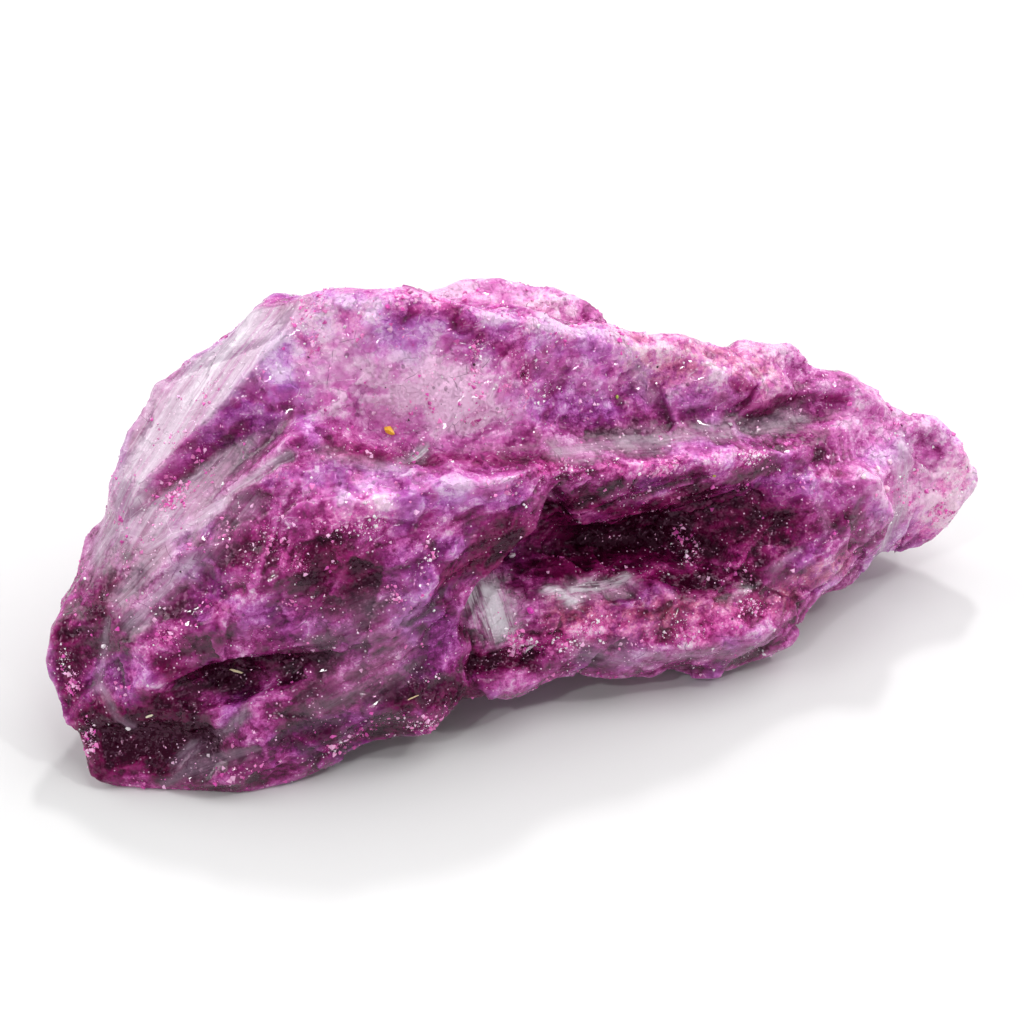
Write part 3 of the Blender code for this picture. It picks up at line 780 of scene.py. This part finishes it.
def break_surface(skin):
    """Corrects the skin's form, and gives it its small breaks, steps and swells."""
    neighbours = neighbours_of(skin)
    points = points_of(skin)
    zones = zones_at(points, unit(eased(normals_of(skin), neighbours, ZONE_EASING)), wander_at(points))
    smooth = np.clip(sum(zones[kind] * share for kind, share in SMOOTH_ZONES.items()), 0, 1)
    correct_form(points)
    directions = unit(eased(normals_of(skin), neighbours, LIFT_EASING))
    set_points(skin, kept_in_box(points + directions * lift_at(points, smooth)[:, None]))


def make_stone():
    """A finer copy of the solid, in its place, with small breaks and with its colours kept on it."""
    skin = merged_copy_of_solid()
    apply_modifier(skin, "DECIMATE", ratio=FACETS / len(skin.data.polygons))
    apply_modifier(skin, "REMESH", mode="VOXEL", voxel_size=SKIN_GRID * MM)
    apply_modifier(skin, "SMOOTH", iterations=SKIN_EASING)
    break_surface(skin)
    apply_modifier(skin, "TRIANGULATE")
    apply_modifier(skin, "DECIMATE", ratio=SKIN_TRIANGLES / len(skin.data.polygons))
    set_points(skin, kept_in_box(points_of(skin)))
    paint_skin(skin)
    skin.data.materials.clear()
    skin.data.materials.append(stone_material())
    skin.data.shade_smooth()
    return skin


# ---------------- crumbs

# Crumbs: (how many, smallest and largest radius in millimetres, how much is clustered, colours).
CRUMBS = {
    "pink_crumbs": (12000, 0.030, 0.22, 0.95, ((0.84, 0.22, 0.56), (0.90, 0.46, 0.74), (0.68, 0.08, 0.42))),
    "pale_crumbs": (5200, 0.028, 0.16, 0.85, ((0.96, 0.78, 0.90), (0.97, 0.90, 0.95), (0.92, 0.56, 0.80))),
    "dark_crumbs": (400, 0.030, 0.12, 0.60, ((0.06, 0.004, 0.03), (0.03, 0.002, 0.015), (0.12, 0.01, 0.07))),
}
# A crumb's corners lie between these shares of its radius from its middle, and it sinks into the stone by
# CRUMB_SINK of its radius. The higher CRUMB_RARITY is, the rarer large crumbs are. Each has its own shade.
CRUMB_EXTENTS = (0.45, 1.3)
CRUMB_SINK = 0.2
CRUMB_RARITY = 6
CRUMB_SHADES = (0.75, 1.2)

# How thickly crumbs lie in the zones: a little everywhere, and this much more or less for each kind.
CRUMBS_EVERYWHERE = 0.18
CRUMBS_IN_ZONES = {"pink": 1.2, "milk": 0.5, "crust": 7.0, "deep": -0.15}
FEWEST_CRUMBS = 0.05
# Clusters of crumbs: the sizes of broad and fine noise in millimetres, the weight of the fine one, the noise
# between which a cluster begins and is whole, and how much thicker crumbs lie in it.
CLUSTER_SIZES = (2.2, 0.6)
CLUSTER_DETAIL = 0.7
CLUSTERS_START = (0.1, 0.9)
CLUSTER_CROWD = 5.0

# A crumb before it is stretched and turned: an octahedron of radius 1.
CRUMB_CORNERS = np.array(((1, 0, 0), (-1, 0, 0), (0, 1, 0), (0, -1, 0), (0, 0, 1), (0, 0, -1)), dtype=float)
CRUMB_FACES = np.array(((0, 2, 4), (2, 1, 4), (1, 3, 4), (3, 0, 4),
                        (2, 0, 5), (1, 2, 5), (3, 1, 5), (0, 3, 5)))

# Single bits: (place in the view, half their length, width and height in millimetres, colour).
BITS = {
    "orange grain": ((389, 432), (0.38, 0.24, 0.16), (0.90, 0.46, 0.03)),
    "straw in the crack": ((236, 672), (0.42, 0.09, 0.07), (0.88, 0.76, 0.48)),
    "straw in the bowl": ((147, 717), (0.36, 0.08, 0.06), (0.85, 0.76, 0.58)),
    "straw on the front": ((413, 698), (0.45, 0.05, 0.05), (0.70, 0.52, 0.30)),
    "crumb by the point": ((875, 472), (0.24, 0.20, 0.18), (0.92, 0.60, 0.74)),
    "second crumb by the point": ((885, 490), (0.30, 0.26, 0.22), (0.90, 0.52, 0.70)),
    "third crumb by the point": ((862, 480), (0.20, 0.16, 0.14), (0.94, 0.74, 0.84)),
    "fourth crumb by the point": ((890, 462), (0.22, 0.16, 0.14), (0.90, 0.56, 0.72)),
    "magenta crumb": ((527, 610), (0.28, 0.22, 0.20), (0.72, 0.02, 0.46)),
    "white crumb by the hollow": ((512, 556), (0.24, 0.18, 0.16), (0.94, 0.80, 0.88)),
    "white crumb in the bowl": ((128, 730), (0.20, 0.16, 0.12), (0.95, 0.88, 0.92)),
    "white crumb at the blunt end": ((104, 645), (0.20, 0.15, 0.12), (0.95, 0.84, 0.92)),
    "olive speck": ((617, 398), (0.12, 0.10, 0.08), (0.42, 0.50, 0.08)),
    "second olive speck": ((712, 474), (0.12, 0.10, 0.08), (0.50, 0.42, 0.08)),
}
BIT_SEED = 9
# The corners of a bit lie between these shares of its extents, and its middle this share of its height up.
BIT_EXTENTS = (0.75, 1.15)
BIT_RISE = 0.4


def crumb_density(skin, clustered, salt):
    """How thickly crumbs lie at each vertex."""
    density = CRUMBS_EVERYWHERE
    for kind, more in CRUMBS_IN_ZONES.items():
        density = density + more * read_from(skin, kind)
    points = points_of(skin)
    broad, fine = (waves(points, size, salt + layer) for layer, size in enumerate(CLUSTER_SIZES))
    clusters = step_up(broad + CLUSTER_DETAIL * fine, *CLUSTERS_START)
    return np.maximum(density, FEWEST_CRUMBS) * (1 - clustered + clustered * CLUSTER_CROWD * clusters)


def turns(count, chance):
    """Random rotations, as matrices."""
    first = unit(chance.normal(size=(count, 3)))
    second = unit(np.cross(first, chance.normal(size=(count, 3))))
    return np.stack((first, second, np.cross(first, second)), axis=1)


def make_piece(name, vertices, faces, colours, material):
    """A mesh of many copies of one shape, given the corners of them all and the faces of one."""
    each = faces.max() + 1
    copies = len(vertices) // each
    polygons = (faces[None] + each * np.arange(copies)[:, None, None]).reshape(-1, 3)
    mesh = bpy.data.meshes.new(name)
    mesh.from_pydata((kept_in_box(vertices) * MM).tolist(), [], polygons.tolist())
    mesh.materials.append(material)
    piece = add_object(name, mesh)
    keep_on(piece, "crumb_colour", np.repeat(colours, each, axis=0))
    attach(piece, BODY)


def crumb_spots(skin, how_many, density, chance):
    """Places drawn on the skin, and the outward direction at each."""
    corners = triangles_of(skin)
    sides = points_of(skin)[corners]
    areas = np.linalg.norm(np.cross(sides[:, 1] - sides[:, 0], sides[:, 2] - sides[:, 0]), axis=1)
    weight = areas * density[corners].mean(axis=1)
    chosen = chance.choice(len(corners), how_many, p=weight / weight.sum())
    shares = chance.dirichlet((1, 1, 1), how_many)
    return (sides[chosen] * shares[:, :, None]).sum(axis=1), normals_of(skin)[corners[chosen, 0]]


def make_crumbs(skin, name, how_many, smallest, largest, clustered, colours, material, salt):
    """Angular crumbs, all in one mesh, that cling to the skin."""
    chance = np.random.default_rng(salt)
    centres, outward = crumb_spots(skin, how_many, crumb_density(skin, clustered, salt), chance)
    radii = smallest + (largest - smallest) * chance.random(how_many) ** CRUMB_RARITY
    extents = chance.uniform(*CRUMB_EXTENTS, (how_many, len(CRUMB_CORNERS), 1))
    turned = np.einsum("nij,vj->nvi", turns(how_many, chance), CRUMB_CORNERS) * extents
    middles = centres - outward * (CRUMB_SINK * radii)[:, None]
    vertices = (middles[:, None] + turned * radii[:, None, None]).reshape(-1, 3)
    picked = np.array(colours)[chance.integers(0, len(colours), how_many)]
    picked = np.clip(picked * chance.uniform(*CRUMB_SHADES, (how_many, 1)), 0, 1)
    make_piece(name, vertices, CRUMB_FACES, picked, material)


def ball():
    """The corners, in millimetres, and the faces of a ball with few faces and a radius of 1 mm."""
    deselect_all()
    bpy.ops.mesh.primitive_ico_sphere_add(subdivisions=1, radius=MM)
    made = bpy.context.object
    corners, faces = points_of(made), triangles_of(made)
    bpy.data.objects.remove(made)
    return corners, faces


def make_bits(skin, material):
    """Single larger crumbs, grains and straws that lie on the skin."""
    chance = np.random.default_rng(BIT_SEED)
    points, normals = points_of(skin), normals_of(skin)
    corners, faces = ball()
    vertices = []
    for pixel, size, _ in BITS.values():
        nearest = np.argmin(np.linalg.norm(points - seen_at(pixel), axis=1))
        up = normals[nearest]
        along = unit(np.cross(up, unit(chance.normal(size=3))))
        axes = np.stack((along, np.cross(up, along), up))
        shape = corners * np.array(size) * chance.uniform(*BIT_EXTENTS, (len(corners), 1))
        vertices.append(points[nearest] + up * BIT_RISE * size[2] + shape @ axes)
    colours = np.array([colour for _, _, colour in BITS.values()])
    make_piece("larger_bits", np.concatenate(vertices), faces, colours, material)


# ---------------- shader nodes

def feed(tree, socket, value):
    """Links an output to the socket, or sets its value."""
    if isinstance(value, bpy.types.NodeSocket):
        tree.links.new(value, socket)
    else:
        socket.default_value = value


def set_inputs(tree, node, **inputs):
    """Sets the node's inputs, given by name, to values or to other nodes' outputs."""
    for name, value in inputs.items():
        feed(tree, node.inputs[name.replace("_", " ")], value)


def put(tree, kind, settings=(), **inputs):
    """Adds a node with these settings and inputs."""
    made = tree.nodes.new("ShaderNode" + kind)
    for name, value in dict(settings).items():
        setattr(made, name, value)
    set_inputs(tree, made, **inputs)
    return made


def sums(tree, operation, *values, clamp=False):
    """The result of a sum on values or outputs."""
    made = put(tree, "Math", {"operation": operation, "use_clamp": clamp})
    for socket, value in zip(made.inputs, values):
        feed(tree, socket, value)
    return made.outputs[0]


def vector_sums(tree, operation, *values):
    """The result of a sum on vectors or outputs."""
    made = put(tree, "VectorMath", {"operation": operation})
    for socket, value in zip(made.inputs, values):
        feed(tree, socket, value)
    return made.outputs["Value" if operation == "DOT_PRODUCT" else "Vector"]


def ramp(tree, value, low, high, to_low=0.0, to_high=1.0):
    """A soft step from low to high."""
    made = put(tree, "MapRange", {"interpolation_type": "SMOOTHSTEP"}, Value=value,
               From_Min=low, From_Max=high, To_Min=to_low, To_Max=to_high)
    return made.outputs["Result"]


def blend(tree, share, first, second):
    """Colours blended by a share."""
    made = put(tree, "Mix", {"data_type": "RGBA", "clamp_factor": True})
    feed(tree, made.inputs["Factor"], share)
    feed(tree, made.inputs[6], first)
    feed(tree, made.inputs[7], second)
    return made.outputs[2]


def times(tree, *values):
    """The product of values or outputs."""
    total = values[0]
    for value in values[1:]:
        total = sums(tree, "MULTIPLY", total, value)
    return total


def kept(tree, name):
    """A number kept on the skin."""
    return put(tree, "Attribute", {"attribute_name": name}).outputs["Fac"]


def clouds(tree, where, size, detail, rough=0.55):
    """Noise with clouds of a size in millimetres, about 0.5 in the middle."""
    return put(tree, "TexNoise", Vector=where, Scale=1 / size, Detail=detail, Roughness=rough).outputs["Fac"]


def moved_by(tree, where, amount, size):
    """The place moved about by noise."""
    noise = put(tree, "TexNoise", Vector=where, Scale=1 / size, Detail=2.0).outputs["Color"]
    centred = vector_sums(tree, "SUBTRACT", noise, (0.5, 0.5, 0.5))
    return vector_sums(tree, "MULTIPLY_ADD", centred, (amount, amount, amount), where)


def cracks(tree, where, size, width):
    """1 on the thin walls between cells, 0 inside them."""
    made = put(tree, "TexVoronoi", {"feature": "DISTANCE_TO_EDGE"}, Vector=where, Scale=1 / size)
    return ramp(tree, made.outputs["Distance"], 0.0, width, 1.0, 0.0)


def specks(tree, where, size, radius, share):
    """1 in small round specks, in a share of the cells."""
    made = put(tree, "TexVoronoi", Vector=where, Scale=1 / size)
    dot = ramp(tree, made.outputs["Distance"], radius * 0.6, radius, 1.0, 0.0)
    pick = put(tree, "SeparateColor", Color=made.outputs["Color"]).outputs["Red"]
    return times(tree, dot, sums(tree, "LESS_THAN", pick, share))


def grains(tree, where, size):
    """A value from 0 to 1 for each angular grain of a size in millimetres."""
    made = put(tree, "TexVoronoi", Vector=where, Scale=1 / size)
    return put(tree, "SeparateColor", Color=made.outputs["Color"]).outputs["Green"]


def facets(tree, where, size, slope):
    """Heights, in millimetres, of flat chips of a size. Most lie flat, and a few tilt by up to the slope."""
    cell = put(tree, "TexVoronoi", Vector=where, Scale=1 / size)
    away = vector_sums(tree, "SUBTRACT", where, cell.outputs["Position"])
    tilt = vector_sums(tree, "SUBTRACT", cell.outputs["Color"], (0.5, 0.5, 0.5))
    cubed = vector_sums(tree, "MULTIPLY", tilt, vector_sums(tree, "MULTIPLY", tilt, tilt))
    return times(tree, vector_sums(tree, "DOT_PRODUCT", away, cubed), 8 * slope)


def broken_up(tree, zone, pattern, low, high, least, most=1.0):
    """A zone broken up by a pattern: least of it is left where that is below low, most where above high."""
    return sums(tree, "MULTIPLY", zone, ramp(tree, pattern, low, high, least, most), clamp=True)


def hue(tree, tone, colours):
    """The colour of a hue at a tone."""
    made = put(tree, "ValToRGB", Fac=tone)
    elements = made.color_ramp.elements
    while len(elements) < len(TONES):
        elements.new(0.5)
    for element, position, colour in zip(elements, TONES, colours):
        element.position = position
        element.color = (*colour, 1.0)
    return made.outputs["Color"]


def weighed(tree, *pairs, start=0.0):
    """The sum of values, each times its weight, and of what it starts with."""
    total = start
    for value, weight in pairs:
        total = sums(tree, "MULTIPLY_ADD", value, weight, total)
    return total


# ---------------- materials

def new_material(name):
    """A material, its node tree and its shader."""
    made = bpy.data.materials.new(name)
    made.use_nodes = True
    return made, made.node_tree, made.node_tree.nodes["Principled BSDF"]


def crumb_material():
    """Crumbs of the stone, each with its own colour."""
    made, tree, shader = new_material("corundum_crumbs")
    colour = put(tree, "Attribute", {"attribute_name": "crumb_colour"}).outputs["Color"]
    set_inputs(tree, shader, Base_Color=colour, Roughness=0.28)
    return made


def stone_patterns(tree):
    """The places, zones and patterns that the stone's colour, gloss and relief share."""
    place = put(tree, "TexCoord").outputs["Object"]
    seen = SimpleNamespace(zone={kind: kept(tree, kind) for kind in ZONES})
    seen.in_mm = put(tree, "Mapping", Vector=place, Scale=(1 / MM,) * 3).outputs["Vector"]
    drawn = put(tree, "Mapping", Vector=seen.in_mm, Rotation=DRAWN_TURN, Scale=DRAWN_SCALE)
    seen.drawn = drawn.outputs["Vector"]
    seen.warped = moved_by(tree, seen.in_mm, 0.16, 0.30)
    seen.broad = kept(tree, "broad_clouds")
    seen.middle = kept(tree, "clouds")
    seen.small = clouds(tree, moved_by(tree, seen.in_mm, 0.3, 0.5), 0.50, 4.0, 0.65)
    seen.wisps = clouds(tree, moved_by(tree, seen.drawn, 0.7, 1.0), 0.8, 5.0, 0.6)
    streaked = put(tree, "Attribute", {"attribute_name": "streaks"}).outputs["Vector"]
    seen.hair = clouds(tree, moved_by(tree, streaked, 0.06, 0.8), 0.20, 3.0, 0.6)
    seen.lines = clouds(tree, streaked, 0.75, 4.0, 0.6)
    seen.streak = weighed(tree, (seen.hair, 0.55), (seen.lines, 0.45))

    # Clear, smooth glass in some parts, and sugary grains in the others.
    clear = ramp(tree, seen.middle, 0.50, 0.62, 1.0, 0.0)
    glassy = weighed(tree, (clear, 0.75), (seen.zone["milk"], 0.4), (seen.zone["deep"], 0.6),
                     (seen.zone["painted_sheen"], 0.5), (seen.zone["pink"], -0.5), (seen.zone["crust"], -0.8))
    seen.glassy = ramp(tree, glassy, 0.15, 0.75)
    seen.grainy = sums(tree, "SUBTRACT", 1.0, seen.glassy)
    dust = sums(tree, "SUBTRACT", clouds(tree, seen.in_mm, 0.13, 3.0, 0.7), 0.5)
    seen.dusty = times(tree, dust, ramp(tree, seen.grainy, 0.0, 1.0, 0.08, 1.0))
    return seen


def stone_tone(tree, seen):
    """How pale the stone is at each place. 0.5 is its middling purple."""
    coarse, fine = grains(tree, seen.warped, 0.60), grains(tree, seen.warped, 0.24)
    mosaic = weighed(tree, (coarse, 0.40), (fine, 0.60), start=-0.5)
    mosaic = times(tree, mosaic, ramp(tree, seen.grainy, 0.0, 1.0, 0.05, 1.0))
    # The two relief terms paint highlights on ridges and shade in hollows and creases.
    pattern = weighed(tree, (seen.broad, 0.32), (seen.middle, 0.60), (seen.small, 0.56), (seen.wisps, 0.74),
                      (seen.dusty, 0.50), (mosaic, 0.26), (kept(tree, "fine_relief"), 0.30),
                      (kept(tree, "broad_relief"), 0.16), start=-1.34)
    # The pattern is fainter where the stone is pale and milky.
    contrast = weighed(tree, (seen.zone["pale"], -0.30), (seen.zone["milk"], -0.20), start=1.04)
    # These include painted light in pale and painted shade in painted_shade and deep.
    changes = ((seen.zone[kind], weight) for kind, weight in TONE_IN_ZONES.items())
    return weighed(tree, *changes, start=sums(tree, "MULTIPLY_ADD", pattern, contrast, 0.50))


def body_colour(tree, seen, tone):
    """The stone's purple, with its violet, rose, garnet and pink parts."""
    magenta, violet = hue(tree, tone, MAGENTA), hue(tree, tone, VIOLET)
    colour = blend(tree, ramp(tree, seen.broad, 0.50, 0.76, 0.0, 0.6), magenta, violet)
    colour = blend(tree, broken_up(tree, seen.zone["violet"], seen.middle, 0.30, 0.60, 0.3), colour, violet)
    for kind, colours, *limits in (("warm", ROSE, 0.40, 0.60, 0.2), ("deep", GARNET, 0.35, 0.55, 0.6),
                                   ("pink", PINK, 0.40, 0.60, 0.3)):
        share = broken_up(tree, seen.zone[kind], seen.small, *limits)
        colour = blend(tree, share, colour, hue(tree, tone, colours))
    return colour


def with_painted_sheen_and_glints(tree, seen, tone, painted_sheen, colour):
    """The colour with the painted sheen, a streaked grey reflection, on clean faces, and painted white glints
    on glassy ones.
    """
    sheen = weighed(tree, (seen.hair, 0.60), (seen.lines, 0.90), (seen.small, 0.15), (tone, 0.36),
                    start=-0.46)
    colour = blend(tree, painted_sheen, colour, hue(tree, sheen, PAINTED_SHEEN_GREYS))
    # Painted glints: white highlights painted in streaks.
    painted_glint_share = broken_up(tree, seen.zone["painted_glint"], seen.streak, 0.42, 0.55, 0.12, 0.92)
    return blend(tree, painted_glint_share, colour, PAINTED_GLINT_WHITE)


def flawed(tree, seen, tone, colour):
    """The colour with dark veins, pale cracks, pale dots and dark dots."""
    veins = cracks(tree, moved_by(tree, seen.in_mm, 0.7, 1.5), 3.2, 0.009)
    veins = times(tree, veins, ramp(tree, seen.wisps, 0.48, 0.62, 0.0, 0.7))
    colour = blend(tree, veins, colour, VEIN_PURPLE)
    flaws = cracks(tree, moved_by(tree, seen.drawn, 0.4, 0.8), 1.1, 0.022)
    flaws = times(tree, flaws, ramp(tree, seen.small, 0.46, 0.60, 0.0, 0.55), ramp(tree, tone, 0.45, 0.75))
    colour = blend(tree, flaws, colour, FLAW_LILAC)
    pale_dots = times(tree, specks(tree, seen.in_mm, 0.26, 0.24, 0.34), ramp(tree, seen.wisps, 0.44, 0.58))
    colour = blend(tree, pale_dots, colour, DOT_PINK)
    dark_dots = specks(tree, moved_by(tree, seen.in_mm, 0.3, 0.5), 0.7, 0.22, 0.15)
    dark_dots = times(tree, dark_dots, ramp(tree, seen.zone["painted_sheen"], 0.1, 0.5, 0.5, 0.0))
    return blend(tree, dark_dots, colour, DOT_DARK)


def add_gloss(tree, shader, seen, painted_sheen):
    """A broken, sparkling gloss, and a wet coat on clean and glassy parts."""
    painted_glint = seen.zone["painted_glint"]
    rough = weighed(tree, (seen.glassy, -0.10), (painted_glint, -0.10),
                    start=ramp(tree, seen.small, 0.35, 0.65, 0.12, 0.26))
    wet = times(tree, seen.glassy, ramp(tree, seen.zone["deep"], 0.0, 0.5, 0.50, 0.0))
    coat = weighed(tree, (painted_sheen, 0.45), (painted_glint, 0.5), (wet, 0.8))
    set_inputs(tree, shader, Roughness=sums(tree, "MAXIMUM", rough, 0.05), IOR=1.46,
               Specular_Tint=(1.0, 0.50, 0.78, 1.0), Coat_Weight=coat, Coat_Roughness=0.06, Coat_IOR=1.55)


def add_fine_relief(tree, shader, seen):
    """Tilted facets and grains that glitter, and ripples in the glassy parts."""
    chipped = sums(tree, "ADD", facets(tree, seen.warped, 0.50, 0.45), facets(tree, seen.warped, 0.20, 0.8))
    chipped = times(tree, chipped, ramp(tree, seen.zone["painted_sheen"], 0.2, 0.8, 1.0, 0.15))
    ripples = times(tree, clouds(tree, moved_by(tree, seen.drawn, 0.5, 0.8), 0.75, 1.5), seen.glassy)
    height = weighed(tree, (seen.dusty, 0.05), (ripples, 0.16), start=chipped)
    bump = put(tree, "Bump", Height=height, Strength=0.8, Distance=MM)
    set_inputs(tree, shader, Normal=bump.outputs["Normal"])


def stone_material():
    """Milky purple glass with dark and pale parts, painted sheen, glints, light and shade, streaks, veins and
    specks.
    """
    made, tree, shader = new_material("purple_corundum_glass")
    seen = stone_patterns(tree)
    # Where the streaked grey painted sheen lies.
    painted_sheen = broken_up(tree, seen.zone["painted_sheen"], seen.streak, 0.38, 0.54, 0.62, 0.94)
    tone = stone_tone(tree, seen)
    colour = with_painted_sheen_and_glints(tree, seen, tone, painted_sheen, body_colour(tree, seen, tone))
    set_inputs(tree, shader, Base_Color=flawed(tree, seen, tone, colour))
    add_gloss(tree, shader, seen, painted_sheen)
    add_fine_relief(tree, shader, seen)
    return made


# ---------------- setting

def add_camera():
    """Looks down on the front of the stone."""
    camera = add_object("camera", bpy.data.cameras.new("camera"))
    camera.location = camera_place()
    camera.rotation_euler = camera_turn().to_euler()
    camera.data.lens = CAMERA_LENS
    camera.data.sensor_width = CAMERA_SENSOR
    camera.data.clip_start = MM
    bpy.context.scene.camera = camera


def add_floor():
    """A plain pale floor."""
    deselect_all()
    bpy.ops.mesh.primitive_plane_add(size=FLOOR_SIZE, location=(0, 0, 0))
    floor = bpy.context.object
    floor.name = "floor"
    paint, tree, shader = new_material("white_floor")
    set_inputs(tree, shader, Base_Color=FLOOR_PAINT, Roughness=0.7, Specular_IOR_Level=0.2)
    floor.data.materials.append(paint)


def add_lamp(name, azimuth, elevation, distance, width, height, radiance):
    """A rectangular light that faces the stone, with its brightness given as radiance."""
    light = bpy.data.lights.new(name, "AREA")
    light.shape = "RECTANGLE"
    light.size = width
    light.size_y = height
    light.energy = radiance * pi * width * height
    lamp = add_object(name, light)
    towards = heading(radians(azimuth), radians(elevation))
    lamp.location = towards * distance
    lamp.rotation_euler = towards.to_track_quat("Z", "Y").to_euler()


def add_studio():
    """Soft light from above and behind, small lamps that make the stone glitter, and a faint white sky."""
    for name, settings in LAMPS.items():
        add_lamp(name, *settings)
    world = bpy.data.worlds.new("world")
    bpy.context.scene.world = world
    world.use_nodes = True
    sky = world.node_tree.nodes["Background"]
    sky.inputs["Color"].default_value = (1, 1, 1, 1)
    sky.inputs["Strength"].default_value = SKY_STRENGTH
    bpy.context.scene.view_settings.view_transform = "Standard"


def main():
    """Makes the stone, what clings to it, and its setting."""
    add_camera()
    stone = make_stone()
    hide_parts(SOLID)
    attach(stone, BODY)
    crumb_look = crumb_material()
    for salt, (name, settings) in enumerate(CRUMBS.items(), start=1):
        make_crumbs(stone, name, *settings, crumb_look, salt)
    make_bits(stone, crumb_look)
    add_floor()
    add_studio()


main()
